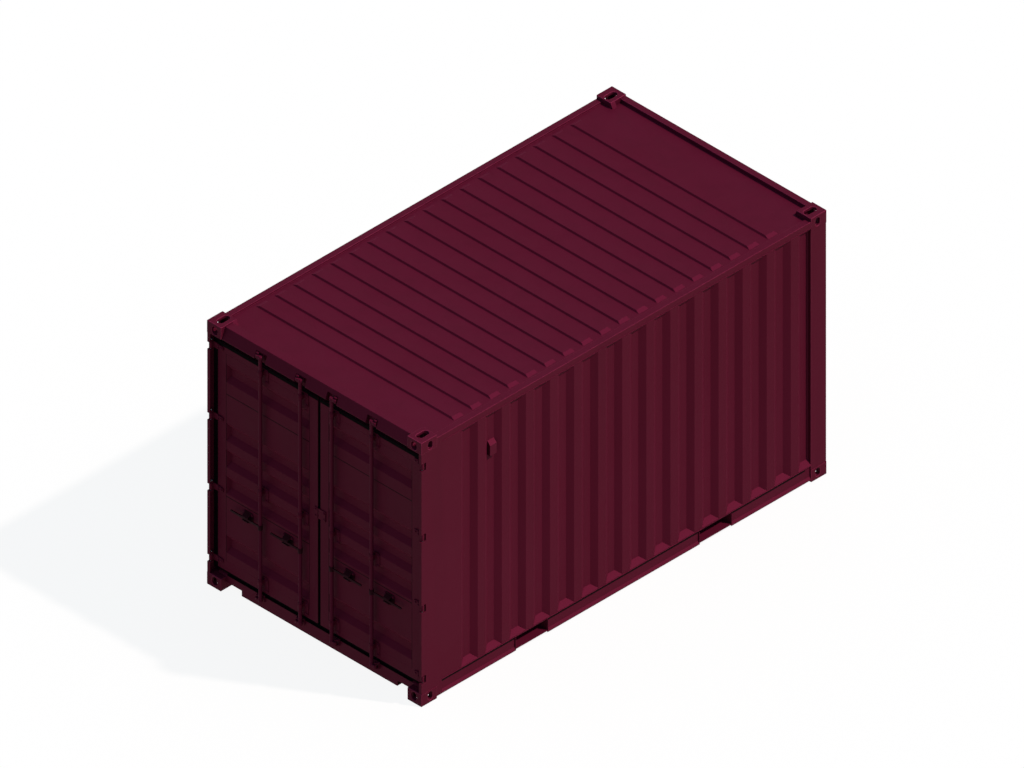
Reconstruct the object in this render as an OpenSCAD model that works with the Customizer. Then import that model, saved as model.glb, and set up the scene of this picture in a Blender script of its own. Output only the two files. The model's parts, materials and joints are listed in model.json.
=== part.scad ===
// Shipping container, about 15 ft long, with corrugated steel walls, a ribbed roof,
// two hinged end doors and four turning lock bars.
// Millimetres, +Z up. The origin is on the ground under the middle of the container.
// The doors are at the low X end. Left is +Y and right is -Y, as seen by someone facing the doors.

/* [Overall] */
// Length over the corner castings
length = 4600; // [3600:1:6100]
// Width over the corner castings
width = 2438; // [2300:1:2600]
// Height over the corner castings
height = 2591; // [2200:1:2900]
// How far walls, rails and posts stand back from the casting faces
setback = 3; // [1:0.5:6]

/* [Corner castings] */
// Casting length along the container
casting_length = 178; // [165:1:190]
// Casting width across the container
casting_width = 162; // [150:1:170]
// Casting height
casting_height = 118; // [112:1:126]
// Thickness of the three pierced walls of a casting
casting_wall = 28; // [22:0.5:30]
// Thickness of the three closed walls of a casting
casting_back = 16; // [10:1:20]
// Length of the twistlock slot
lock_slot_length = 124; // [110:0.5:126]
// Width of the twistlock slot
lock_slot_width = 63.5; // [50:0.5:70]
// Distance of the slot and the side hole from the end of the container
slot_from_end = 101.5; // [95:0.5:105]
// Distance of the slot and the end hole from the side of the container
slot_from_side = 89; // [80:0.5:92]
// Height of the oval holes in the end and side of a casting
lift_hole_height = 79.5; // [60:0.5:80]
// Width of the oval hole in the end of a casting
end_hole_width = 63.5; // [45:0.5:70]
// Width of the oval hole in the side of a casting
side_hole_width = 51; // [40:0.5:60]

/* [Rails and posts] */
// Height of the bottom rails above the ground
rail_lift = 20; // [14:0.5:30]
// Height of the bottom rails
bottom_rail_height = 142; // [130:1:150]
// Width of the bottom rails
bottom_rail_width = 48; // [42:1:54]
// How far the web of a bottom rail stands back from its edges
rail_groove = 11; // [6:0.5:16]
// Height of the upright lip at the foot of a bottom rail
rail_lip = 8; // [7:0.5:14]
// Height of the sloped strip over that lip
rail_splay = 27; // [15:1:40]
// Plate thickness of rails and front posts
rail_plate = 6; // [4:0.5:6.5]
// Side of the square top rail tubes
top_rail = 60; // [50:1:70]
// Top side rails below the top of the castings
top_rail_drop = 33; // [25:0.5:40]
// Front top rail below the top of the castings
front_rail_drop = 14; // [8:0.5:20]
// Depth of the folded front posts
front_post_depth = 60; // [45:1:75]
// Length of the outer plate of a door post along the side
door_post_length = 230; // [215:1:250]
// Thickness of the outer plate of a door post
door_post_plate = 9; // [7:0.5:10]
// Length of the inner box of a door post along the side
post_box_length = 115; // [90:1:116]
// Depth of the inner box of a door post
post_box_depth = 63; // [50:1:75]

/* [Corrugated walls] */
// Sheet thickness of walls and door panels
sheet = 2; // [1.5:0.1:4]
// Pitch of the wall troughs
trough_pitch = 273.3; // [240:0.1:320]
// Depth of the troughs in the walls and doors
trough_depth = 36; // [25:0.5:42]
// Width of one sloped side of a wall trough
trough_slope = 56; // [40:1:65]
// Width of the floor of a wall trough
trough_floor = 75; // [60:1:85]
// Length of the sloped closed end of a wall trough
trough_end = 50; // [30:1:70]
// Start of the first side trough behind the door end
first_trough = 455; // [330:1:600]
// Plain strip of sheet above and below the troughs
trough_margin = 7; // [4:0.5:30]

/* [Roof] */
// Roof sheet below the top of the castings
roof_drop = 50; // [40:0.5:60]
// Pitch of the raised roof ribs
rib_pitch = 209.6; // [180:0.1:260]
// Height of a roof rib
rib_height = 15; // [12:0.5:24]
// Width of the top of a roof rib
rib_top = 91; // [60:1:110]
// Width of one sloped side of a roof rib
rib_slope = 10; // [8:0.5:25]
// Length of the sloped end of a roof rib
rib_end = 37; // [20:1:60]
// Flat roof strip between rib ends and side rails
rib_margin = 30; // [15:1:60]
// Start of the first rib from the end of the container
first_rib = 460; // [300:1:600]
// Length of the roof gussets beside the top castings
gusset_length = 48; // [30:1:60]
// Reach of the roof gussets from the top castings
gusset_reach = 25; // [15:1:50]
// Roof gussets below the top of the castings
gusset_drop = 3; // [2:0.5:10]

/* [Floor] */
// Height of the floor surface above the ground
floor_top = 168; // [163:0.5:176]
// Thickness of the floor boards
floor_thickness = 28; // [22:1:35]
// Height of the cross members under the floor
member_height = 122; // [100:1:126]
// Flange width of a cross member
member_flange = 45; // [35:1:60]
// Plate thickness of the cross members
member_plate = 5; // [4:0.5:7]
// Pitch of the cross members
member_pitch = 305; // [260:1:400]

/* [Fork pockets] */
// Width of a fork pocket
pocket_width = 360; // [300:1:380]
// Distance between the two fork pockets
pocket_spacing = 2085; // [1600:1:2200]
// Height of the strap under a fork pocket above the ground
strap_lift = 34; // [30:0.5:45]
// Width of the strap under each mouth of a fork pocket
strap_width = 150; // [100:1:220]

/* [Door end] */
// Sill face behind the casting faces
sill_face = 61; // [58:0.5:66]
// Back of the sill behind the casting faces
sill_back = 140; // [130:1:160]
// Bottom of the sill above the ground
sill_lift = 12.5; // [8:0.5:20]
// Plate thickness of the sill
sill_plate = 8; // [5:0.5:10]
// Height of the upright sill face above the ground
sill_step = 133; // [125:0.5:140]
// Depth of the sloped strip behind the sill face
sill_slope = 34; // [25:1:36]
// Rise of that sloped strip
sill_slope_rise = 17; // [10:0.5:20]
// Depth of the leaning riser between the slope and the floor
sill_riser = 5; // [3:0.5:8]
// Height of the notches in the sill beside the castings
sill_notch_top = 65; // [50:1:80]
// Length of the notches in the sill beside the castings
sill_notch = 174; // [120:1:220]
// Back of the header behind the casting faces
header_back = 130; // [120:1:150]
// Underside of the header below the top of the castings
header_drop = 161; // [150:1:170]
// Top edge of the header below the top of the castings
header_top_drop = 12; // [6:0.5:18]
// Front edge of the header behind the casting faces
header_nose = 12; // [6:0.5:20]
// Height of the upright front edge of the header
header_nose_height = 8; // [5:0.5:12]
// Front edge of the header above its underside
header_nose_lift = 40; // [30:1:46]
// Upper front edge of the header behind the casting faces
header_brow = 50; // [40:1:60]
// Lower back edge of the leaning underside behind the casting faces
header_lip = 56; // [54:0.5:57]
// Width of the header pockets for the lock bars
header_pocket = 120; // [118:1:140]
// Back of the header pockets behind the casting faces
header_pocket_back = 60; // [58:0.5:66]

/* [Door leaves] */
// Front face of the door leaves behind the casting faces
leaf_face = 57; // [55:0.5:60]
// Thickness of the leaf frames
leaf_thickness = 50; // [42:1:54]
// Hinge edge of a leaf from the side of the container
leaf_side = 70; // [66:1:80]
// Gap between the two leaves
leaf_gap = 30; // [28:0.5:36]
// Gap between a leaf and the floor of the sill
leaf_bottom_gap = 11; // [10.5:0.5:16]
// Gap between a leaf and the header
leaf_top_gap = 26; // [22:0.5:34]
// Width of the upright and level members of a leaf frame
stile = 95; // [80:1:110]
// Width of one sloped side of a door trough
door_slope = 52; // [40:1:60]
// Width of the floor of a door trough
door_floor = 72; // [50:1:80]
// Length of the sloped end of a door trough
door_end = 22; // [15:1:40]
// Lowest door trough above the bottom of a leaf
low_trough = 179; // [110:1:200]
// Lower edge of the highest door trough below the top of a leaf
high_trough_drop = 368; // [300:1:400]
// Lower edge of the middle door trough below the middle of a leaf
middle_trough_drop = 93.5; // [60:0.5:120]
// Pitch of the three middle door troughs
door_pitch = 258.5; // [230:0.5:270]
// Lower sheet seam below the trough over it
low_seam_drop = 27.5; // [12:0.5:40]
// Upper sheet seam below the trough over it
high_seam_drop = 119; // [80:1:140]
// Width of a sheet seam
seam_width = 8; // [4:0.5:12]
// Depth of a sheet seam
seam_depth = 1; // [0.5:0.1:1.2]
// Clearance of moving pieces from fixed ones
swing_clear = 6; // [5:0.5:6.5]
// Reach of the door seal over the middle gap from the right leaf
seal_reach = 17; // [16:0.5:17.5]
// Reach of the door seal over the middle gap from the left leaf
seal_lip = 6; // [4:0.5:6.5]
// Front of the door seal behind the face of a leaf
seal_set = 6; // [5.5:0.5:10]
// Gap between the door seal and the outer plate of a door post
seal_gap = 8; // [7:0.5:20]
// Depth of the door seal along the container
seal_depth = 20; // [12:1:25]

/* [Hinges] */
// Hinge pin axis behind the casting faces
hinge_r = 28; // [26:0.5:29]
// Hinge pin axis from the side of the container
hinge_side = 18; // [17:0.5:20]
// Radius of a hinge pin
pin_radius = 9; // [7:0.5:10]
// Running clearance around pins and lock bars
running = 0.3; // [0.2:0.05:0.5]
// Height of a hinge blade
blade_height = 58; // [50:1:62]
// Thickness of a hinge blade
blade_plate = 10; // [8:0.5:11]
// Reach of a hinge blade from the pin
blade_reach = 117; // [100:1:130]
// Height of the lowest hinge above the ground
hinge_first = 258; // [240:1:300]
// Highest hinge below the top of the castings
hinge_top_drop = 246.5; // [230:0.5:300]
// Height of a hinge lug
lug_height = 18; // [14:1:24]
// Wall of a hinge knuckle round its pin
knuckle_wall = 6; // [4:0.5:6]
// Height of the head of a hinge pin
pin_head = 5; // [3:0.5:7]
// Rim of a pin head round the pin
pin_rim = 3; // [2:0.5:4]
// Gap between the back of a hinge notch and the face of a leaf
notch_gap = 4; // [2:0.5:6]
// Straight length of a hinge blade before its taper
blade_straight = 42; // [30:1:60]
// Height of the tip of a hinge blade
blade_tip = 32; // [20:1:44]

/* [Lock bars] */
// Lock bar axis behind the casting faces
bar_r = 20.5; // [20:0.5:22]
// Radius of a lock bar
bar_radius = 16; // [13:0.5:16]
// Distance of the inner lock bars from the middle
bar_inner = 178; // [165:1:200]
// Distance of the outer lock bars from the middle
bar_outer = 631; // [600:1:660]
// Wall of locking cams round the bar
cam_wall = 3; // [2:0.5:4]
// Reach of a locking cam from the bar axis
cam_reach = 52; // [46:1:54]
// Thickness of a locking cam
cam_height = 26; // [16:1:26]
// Width of the tongue of a locking cam
cam_width = 30; // [18:1:30]
// Middle of the lower cams above the ground
lower_cam = 120; // [116:1:122]
// Middle of the upper cams below the top of the castings
upper_cam_drop = 88; // [84:1:92]
// Bar end beyond its cam
bar_tip = 4; // [2:0.5:8]
// Plate thickness of the cam keepers
keeper_plate = 12; // [8:0.5:12]
// Front of the back plate of a keeper before the face of a leaf
keeper_lead = 9; // [8:0.5:11]
// Slant of the outer edge of the jaws of a keeper
jaw_slant = 10; // [4:0.5:14]
// Wall of bar guides and handle hubs round the bar
guide_wall = 4; // [3:0.5:4]
// Height of the collar of a bar guide
guide_height = 40; // [30:1:50]
// Width of the base plate of a bar guide
guide_width = 120; // [90:1:130]
// Height of the base plate of a bar guide
guide_base = 140; // [120:1:146]
// Thickness of the base plates of bar guides and handle catches
guide_plate = 6; // [4:0.5:8]
// Cut corners of those base plates
plate_cut = 14; // [6:0.5:20]
// Lowest bar guides above the bottom of a leaf
low_guide = 116; // [112:1:140]
// Middle bar guides below the middle of a leaf
middle_guide_drop = 116.5; // [100:0.5:130]
// Highest bar guides below the top of a leaf
high_guide_drop = 60; // [50:1:80]
// Handle height above the bottom of a leaf
handle_lift = 656; // [640:1:700]
// Reach of a handle from the bar axis
handle_reach = 340; // [300:1:360]
// Thickness of a handle
handle_plate = 10; // [8:0.5:12]
// Height of the section of a handle
handle_height = 18; // [14:1:24]
// Height of the hub of a handle
handle_hub = 45; // [36:1:60]
// Distance of a handle catch from its bar
catch_reach = 170; // [140:1:220]
// Width of the base plate of a handle catch
catch_width = 110; // [80:1:130]
// Height of the base plate of a handle catch
catch_height = 106; // [100:1:130]
// Width of the ledges of a handle catch
catch_ledge_width = 64; // [40:1:80]
// Thickness of the ledges of a handle catch at their front
catch_ledge = 8; // [6:0.5:10]
// How much thicker the ledges are at the base plate
catch_brace = 22; // [10:1:25]
// Middle of the seal plates below the middle of a leaf
seal_plate_drop = 20.5; // [0:0.5:40]
// Height of the seal plates
seal_plate_height = 100; // [80:1:110]
// Thickness of the seal plates
seal_plate = 8; // [5:0.5:10]
// Width of the right seal plate on its leaf
right_plate_width = 63; // [50:1:80]
// Width of the left seal plate on its leaf
left_plate_width = 34; // [20:1:50]

/* [Vents] */
// Height of a side vent
vent_height = 139; // [110:1:160]
// Top of a side vent below the top of the castings
vent_drop = 380; // [300:1:500]
// Sheet thickness of a side vent
vent_sheet = 3; // [1.5:0.5:4]
// Face of a side vent behind the flats of the wall
vent_set = 2; // [1:0.5:6]

/* [Hidden] */
$fn = 48;

// Paint colours
paint = [0.33, 0.10, 0.17];
rubber = [0.03, 0.03, 0.03];
timber = [0.45, 0.30, 0.18];
steel = [0.30, 0.11, 0.17];

// Cuts run past the faces that they open by this much
over = 1;

// Places measured from the door end, the front end and the right side
function door_x(r) = -length / 2 + r;
function front_x(r) = length / 2 - r;
function right_y(d) = -width / 2 + d;

// Shift of a slope of the given run and depth when its sheet gains a thickness
function slope_shift(run, depth, thickness) = thickness * sqrt(run * run + depth * depth) / depth;

// Levels
rail_top = rail_lift + bottom_rail_height;
post_bottom = casting_height;
post_top = height - casting_height;
top_rail_top = height - top_rail_drop;
top_rail_bottom = top_rail_top - top_rail;
front_rail_top = height - front_rail_drop;
front_rail_bottom = front_rail_top - top_rail;
roof_top = height - roof_drop;
floor_bottom = floor_top - floor_thickness;
header_bottom = height - header_drop;
leaf_bottom = floor_top + leaf_bottom_gap;
leaf_top = header_bottom - leaf_top_gap;
leaf_height = leaf_top - leaf_bottom;

// Depths from the side and end faces
rail_inside = setback + bottom_rail_width;
top_rail_inside = setback + top_rail;
post_end = setback + door_post_length;
post_box_start = post_end - post_box_length;
post_plate_inside = setback + door_post_plate;
post_box_inside = post_plate_inside + post_box_depth;
front_post_inside = setback + front_post_depth;
wall_inside = width / 2 - casting_width;
leaf_back = leaf_face + leaf_thickness;
leaf_middle = leaf_gap / 2;

// Corrugation of the side walls
wall_start = post_end;
wall_end = length - casting_length;
trough_width = 2 * trough_slope + trough_floor;
side_troughs = [for (u = [first_trough:trough_pitch:wall_end - trough_slope - trough_floor]) u];

// Corrugation of the front wall, the same troughs set evenly about the middle
front_count = floor((2 * wall_inside - trough_width) / trough_pitch) + 1;
front_start = -((front_count - 1) * trough_pitch + trough_width) / 2;
front_troughs = [for (i = [0:front_count - 1]) front_start + i * trough_pitch];

// Roof ribs, set evenly about the middle
rib_base = rib_top + 2 * rib_slope;
rib_count = floor((length - 2 * first_rib - rib_base) / rib_pitch + 0.5) + 1;
rib_start = -((rib_count - 1) * rib_pitch + rib_base) / 2;
roof_ribs = [for (i = [0:rib_count - 1]) rib_start + i * rib_pitch];

// Door troughs, sheet seams and bar guides above the bottom of a leaf
middle_trough = leaf_height / 2 - middle_trough_drop;
door_troughs = concat(
  [low_trough],
  [for (i = [-1:1]) middle_trough + i * door_pitch],
  [leaf_height - high_trough_drop]
);
door_seams = [door_troughs[1] - low_seam_drop, door_troughs[4] - high_seam_drop];
guide_heights = [low_guide, leaf_height / 2 - middle_guide_drop, leaf_height - high_guide_drop];

// Hinges
hinge_count = 4;
hinge_pitch = (height - hinge_top_drop - hinge_first) / (hinge_count - 1);
hinge_heights = [for (i = [0:hinge_count - 1]) hinge_first + i * hinge_pitch];
hinge_x = door_x(hinge_r);
hinge_y = right_y(hinge_side);
knuckle_radius = pin_radius + knuckle_wall;
notch_height = blade_height + 2 * swing_clear;
notch_back = leaf_face - notch_gap;
pin_reach = notch_height / 2 + lug_height;
pin_head_radius = pin_radius + pin_rim;
pin_seat = running / 3;

// Lock bars and what holds them
bar_x = door_x(bar_r);
upper_cam = height - upper_cam_drop;
cams = [lower_cam, upper_cam];
bar_bottom = lower_cam - cam_height / 2 - bar_tip;
bar_top = upper_cam + cam_height / 2 + bar_tip;
bars_of_leaf = [bar_inner, bar_outer];
cam_radius = bar_radius + cam_wall;
guide_radius = bar_radius + running + guide_wall;
guide_front = leaf_face - guide_plate;
keeper_face = leaf_face - keeper_lead;
keeper_gap = cam_height / 2 + swing_clear;
keeper_half = keeper_gap + keeper_plate;
keeper_start = cam_radius + swing_clear;
keeper_end = cam_reach + swing_clear;
pocket_top = upper_cam + keeper_half + swing_clear;
handle_z = leaf_bottom + handle_lift;

// Edges of the door seals, clear of the keepers, the header and the posts
seal_front = leaf_face + seal_set;
seal_bottom = lower_cam + keeper_half + swing_clear;
seal_top = header_bottom - swing_clear;
seal_edge = post_plate_inside + seal_gap;

// A box between two opposite corners
module box(low, high) {
  translate(low) cube(high - low);
}

// Prisms along the three axes. Outlines are drawn in (y, z), (x, z) and (x, y).
module along_x(from, to) {
  translate([from, 0, 0]) rotate([90, 0, 90]) linear_extrude(to - from) children();
}

module along_y(from, to) {
  translate([0, to, 0]) rotate([90, 0, 0]) linear_extrude(to - from) children();
}

module along_z(from, to) {
  translate([0, 0, from]) linear_extrude(to - from) children();
}

// A flat rectangle between two opposite corners
module pane(low, high) {
  translate(low) square(high - low);
}

// A flat rectangle between two opposite corners, with its corners cut off
module clipped_pane(low, high, cut) {
  polygon([
    [low.x + cut, low.y],
    [high.x - cut, low.y],
    [high.x, low.y + cut],
    [high.x, high.y - cut],
    [high.x - cut, high.y],
    [low.x + cut, high.y],
    [low.x, high.y - cut],
    [low.x, low.y + cut]
  ]);
}

// Right-hand pieces are drawn, and left-hand ones are their mirror images
module on_left() {
  mirror([0, 1, 0]) children();
}

// A slot with round ends, long along X and centred, cut through along Z
module round_slot(slot_length, slot_width, through) {
  straight = slot_length - slot_width;
  translate([-straight / 2, -slot_width / 2, 0]) cube([straight, slot_width, through]);
  for (side = [-1, 1])
    translate([side * straight / 2, 0, 0]) cylinder(d = slot_width, h = through);
}

// Cross section of troughs in a sheet whose face is at y = 0: one trapezoid per start
module trough_section(starts, slope, floor_width, depth, grow) {
  shift = slope_shift(slope, depth, grow);
  lift = grow > 0 ? 0 : -over;
  bottom = depth + grow;
  for (start = starts)
    polygon([
      [start - shift + slope * lift / depth, lift],
      [start - shift + slope * bottom / depth, bottom],
      [start + 2 * slope + floor_width + shift - slope * bottom / depth, bottom],
      [start + 2 * slope + floor_width + shift - slope * lift / depth, lift]
    ]);
}

// The troughs as solids: the section along Z, met by the profile with its two sloped ends
module trough_solids(starts, slope, floor_width, depth, end_slope, low, high, grow) {
  side = max([for (start = starts) abs(start)]) + 2 * slope + floor_width + 10 * over;
  intersection() {
    along_z(low - 10 * over, high + 10 * over)
      trough_section(starts, slope, floor_width, depth, grow);
    rotate([0, -90, 0]) translate([0, 0, -side]) linear_extrude(2 * side)
      trough_section([low], end_slope, high - low - 2 * end_slope, depth, grow);
  }
}

// A pressed sheet in the XZ plane with its face at y = 0 and its troughs towards +Y
module pressed_sheet(
  from, to, bottom, top, thickness, starts, slope, floor_width, depth, end_slope, low, high
) {
  difference() {
    intersection() {
      union() {
        box([from, 0, bottom], [to, thickness, top]);
        trough_solids(starts, slope, floor_width, depth, end_slope, low, high, thickness);
      }
      box([from, 0, bottom], [to, depth + 2 * thickness, top]);
    }
    trough_solids(starts, slope, floor_width, depth, end_slope, low, high, 0);
  }
}

// One corner casting with its outer corner at the origin and its slot facing down
module casting() {
  hole_z = (casting_wall + casting_height - casting_back) / 2;
  through = casting_wall + 2 * over;
  difference() {
    cube([casting_length, casting_width, casting_height]);
    box(
      [casting_wall, casting_wall, casting_wall],
      [casting_length - casting_back, casting_width - casting_back, casting_height - casting_back]
    );
    translate([slot_from_end, slot_from_side, -over])
      round_slot(lock_slot_length, lock_slot_width, through);
    translate([-over, slot_from_side, hole_z]) rotate([0, 90, 0])
      round_slot(lift_hole_height, end_hole_width, through);
    translate([slot_from_end, -over, hole_z]) rotate([-90, 0, 0]) rotate([0, 0, 90])
      round_slot(lift_hole_height, side_hole_width, through);
  }
}

module four_castings() {
  for (end = [0, 1], side = [0, 1])
    mirror([end, 0, 0]) mirror([0, side, 0]) translate([-length / 2, -width / 2, 0]) casting();
}

module bottom_castings() {
  color(paint) four_castings();
}

module top_castings() {
  color(paint) translate([0, 0, height]) mirror([0, 0, 1]) four_castings();
}

// Door post: outer plate with a front flange and hinge notches, inner box, and lugs that hold the pins
module door_post() {
  low = right_y(setback);
  flange = hinge_y + knuckle_radius;
  difference() {
    union() {
      along_z(post_bottom, post_top) {
        pane([door_x(setback), low], [door_x(post_end), right_y(post_plate_inside)]);
        pane([door_x(setback), low], [door_x(post_plate_inside), flange]);
        pane([door_x(post_box_start), low], [door_x(post_end), right_y(post_box_inside)]);
      }
      along_x(door_x(casting_length), door_x(post_end)) {
        pane([low, post_top], [right_y(top_rail_inside), top_rail_bottom]);
        pane([low, rail_lift], [right_y(rail_inside), post_bottom]);
      }
      for (z = hinge_heights)
        box([door_x(setback), low, z - pin_reach], [hinge_x + knuckle_radius, flange, z + pin_reach]);
    }
    for (z = hinge_heights) {
      box(
        [door_x(-over), low - over, z - notch_height / 2],
        [door_x(notch_back), hinge_y + knuckle_radius + over, z + notch_height / 2]
      );
      translate([hinge_x, hinge_y, z - pin_reach - over])
        cylinder(r = pin_radius + pin_seat, h = 2 * pin_reach + 2 * over);
      translate([hinge_x, hinge_y, z + pin_reach])
        cylinder(r = pin_head_radius + running, h = pin_head + running);
    }
  }
}

module right_door_post() {
  color(paint) door_post();
}

module left_door_post() {
  color(paint) on_left() door_post();
}

// Front post: one folded hollow section round the corner
module front_post() {
  inset = setback + rail_plate;
  inner = front_post_inside - rail_plate;
  along_z(post_bottom, post_top)
    difference() {
      polygon([
        [front_x(casting_length), right_y(setback)],
        [front_x(setback), right_y(setback)],
        [front_x(setback), right_y(casting_width)],
        [front_x(front_post_inside), right_y(casting_width)],
        [front_x(front_post_inside), right_y(front_post_inside)],
        [front_x(casting_length), right_y(front_post_inside)]
      ]);
      polygon([
        [front_x(casting_length - rail_plate), right_y(inset)],
        [front_x(inset), right_y(inset)],
        [front_x(inset), right_y(casting_width - rail_plate)],
        [front_x(inner), right_y(casting_width - rail_plate)],
        [front_x(inner), right_y(inner)],
        [front_x(casting_length - rail_plate), right_y(inner)]
      ]);
    }
}

module right_front_post() {
  color(paint) front_post();
}

module left_front_post() {
  color(paint) on_left() front_post();
}

// Section of a hollow bottom rail, standing on the rail line with its outer edge at zero:
// a web set back under the top edge and splayed out to a lip at the foot
module rail_section() {
  inner = bottom_rail_width - rail_plate;
  web = rail_groove + rail_plate;
  splay_top = rail_lip + rail_splay;
  top = bottom_rail_height - rail_plate;
  difference() {
    polygon([
      [0, 0],
      [bottom_rail_width, 0],
      [bottom_rail_width, bottom_rail_height],
      [0, bottom_rail_height],
      [0, top],
      [rail_groove, top],
      [rail_groove, splay_top],
      [0, rail_lip]
    ]);
    polygon([
      [rail_plate, rail_plate],
      [inner, rail_plate],
      [inner, top],
      [web, top],
      [web, splay_top],
      [rail_plate, rail_lip]
    ]);
  }
}

// Bottom side rail: hollow section, cut away at the fork pockets
module bottom_rail() {
  cut = pocket_width / 2 + rail_plate;
  difference() {
    along_x(door_x(post_end), front_x(casting_length))
      translate([right_y(setback), rail_lift]) rail_section();
    for (side = [-1, 1])
      translate([side * pocket_spacing / 2, 0, 0])
        box(
          [-cut, right_y(-over), rail_lift - over],
          [cut, right_y(rail_inside + over), floor_bottom]
        );
  }
}

module right_bottom_rail() {
  color(paint) bottom_rail();
}

module left_bottom_rail() {
  color(paint) on_left() bottom_rail();
}

module rail_tube() {
  difference() {
    square(top_rail);
    translate([rail_plate, rail_plate]) square(top_rail - 2 * rail_plate);
  }
}

module top_side_rail() {
  along_x(door_x(casting_length), front_x(casting_length))
    translate([right_y(setback), top_rail_bottom]) rail_tube();
}

module top_side_rails() {
  color(paint) {
    top_side_rail();
    on_left() top_side_rail();
  }
}

module front_bottom_rail() {
  color(paint)
    along_y(-wall_inside, wall_inside)
      translate([front_x(setback), rail_lift]) mirror([1, 0]) rail_section();
}

module front_top_rail() {
  color(paint)
    along_y(-wall_inside, wall_inside)
      translate([front_x(top_rail_inside), front_rail_bottom]) rail_tube();
}

// Door sill: pressed channel open to the back, notched beside the castings
module door_sill() {
  slope_back = sill_face + sill_slope;
  rise_back = slope_back + sill_riser;
  slope_top = sill_step + sill_slope_rise;
  color(paint)
    difference() {
      along_y(right_y(post_box_inside), -right_y(post_box_inside))
        polygon([
          [door_x(sill_face), sill_lift],
          [door_x(sill_face), sill_step],
          [door_x(slope_back), slope_top],
          [door_x(rise_back), floor_top],
          [door_x(sill_back), floor_top],
          [door_x(sill_back), floor_top - sill_plate],
          [door_x(rise_back + sill_plate), floor_top - sill_plate],
          [door_x(slope_back + sill_plate), slope_top - sill_plate],
          [door_x(sill_face + sill_plate), sill_step - sill_plate],
          [door_x(sill_face + sill_plate), sill_lift + sill_plate],
          [door_x(sill_back), sill_lift + sill_plate],
          [door_x(sill_back), sill_lift]
        ]);
      for (side = [0, 1])
        mirror([0, side, 0]) {
          box(
            [door_x(0), right_y(0), -over],
            [door_x(casting_length), right_y(casting_width), casting_height]
          );
          box(
            [door_x(0), right_y(0), -over],
            [door_x(casting_length), right_y(casting_width + sill_notch), sill_notch_top]
          );
        }
    }
}

// Door header: leaning front face, sloping underside, and a pocket behind each lock bar
module door_header() {
  top = height - header_top_drop;
  nose_bottom = header_bottom + header_nose_lift;
  color(paint)
    difference() {
      along_y(right_y(post_box_inside), -right_y(post_box_inside))
        polygon([
          [door_x(header_brow), top],
          [door_x(header_nose), nose_bottom + header_nose_height],
          [door_x(header_nose), nose_bottom],
          [door_x(header_lip), header_bottom],
          [door_x(header_back), header_bottom],
          [door_x(header_back), top]
        ]);
      for (side = [0, 1])
        mirror([0, side, 0]) {
          along_y(right_y(0), right_y(casting_width)) {
            pane([door_x(-over), post_top], [door_x(casting_length), height + over]);
            pane([door_x(-over), header_bottom - over], [door_x(header_lip), height]);
          }
          for (y = bars_of_leaf)
            box(
              [door_x(-over), -y - header_pocket / 2, header_bottom - over],
              [door_x(header_pocket_back), -y + header_pocket / 2, pocket_top]
            );
        }
    }
}

// Side wall: pressed sheet with upright troughs between the door post and the front post
module side_wall() {
  translate([0, right_y(setback), 0])
    pressed_sheet(
      door_x(wall_start), door_x(wall_end), rail_top, top_rail_bottom, sheet,
      [for (u = side_troughs) door_x(u)], trough_slope, trough_floor, trough_depth, trough_end,
      rail_top + trough_margin, top_rail_bottom - trough_margin
    );
}

module right_side_wall() {
  color(paint) side_wall();
}

module left_side_wall() {
  color(paint) on_left() side_wall();
}

module front_wall() {
  color(paint)
    translate([front_x(setback), 0, 0]) rotate([0, 0, 90])
      pressed_sheet(
        -wall_inside, wall_inside, rail_top, front_rail_bottom, sheet,
        front_troughs, trough_slope, trough_floor, trough_depth, trough_end,
        rail_top + trough_margin, front_rail_bottom - trough_margin
      );
}

// Roof: one pressed sheet with raised cross ribs, cut round the castings, and a gusset beside each casting
module roof_panel() {
  half = width / 2 - top_rail_inside;
  gusset_start = max(casting_length - gusset_length, header_back);
  color(paint) {
    difference() {
      translate([0, 0, roof_top - sheet]) rotate([90, 0, 0])
        pressed_sheet(
          door_x(header_back), front_x(top_rail_inside), -half, half, sheet,
          roof_ribs, rib_slope, rib_top, rib_height, rib_end, rib_margin - half, half - rib_margin
        );
      for (end = [0, 1], side = [0, 1])
        mirror([end, 0, 0]) mirror([0, side, 0])
          box([door_x(0), right_y(0), post_top], [door_x(casting_length), right_y(casting_width), height]);
    }
    for (end = [0, 1], side = [0, 1])
      mirror([end, 0, 0]) mirror([0, side, 0])
        along_x(door_x(gusset_start), door_x(casting_length))
          polygon([
            [right_y(casting_width), roof_top],
            [right_y(casting_width + gusset_reach), roof_top],
            [right_y(casting_width), height - gusset_drop]
          ]);
  }
}

// Floor boards between the rails, cut round the posts
module floor_deck() {
  color(timber)
    difference() {
      box(
        [door_x(sill_back), right_y(rail_inside), floor_bottom],
        [front_x(rail_inside), -right_y(rail_inside), floor_top]
      );
      for (side = [0, 1])
        mirror([0, side, 0]) {
          box(
            [door_x(0), right_y(0), floor_bottom - over],
            [door_x(post_end), right_y(post_box_inside), floor_top + over]
          );
          box(
            [front_x(casting_length), right_y(0), floor_bottom - over],
            [front_x(0), right_y(front_post_inside), floor_top + over]
          );
          box(
            [front_x(front_post_inside), right_y(0), floor_bottom - over],
            [front_x(0), right_y(casting_width), floor_top + over]
          );
        }
    }
}

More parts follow.
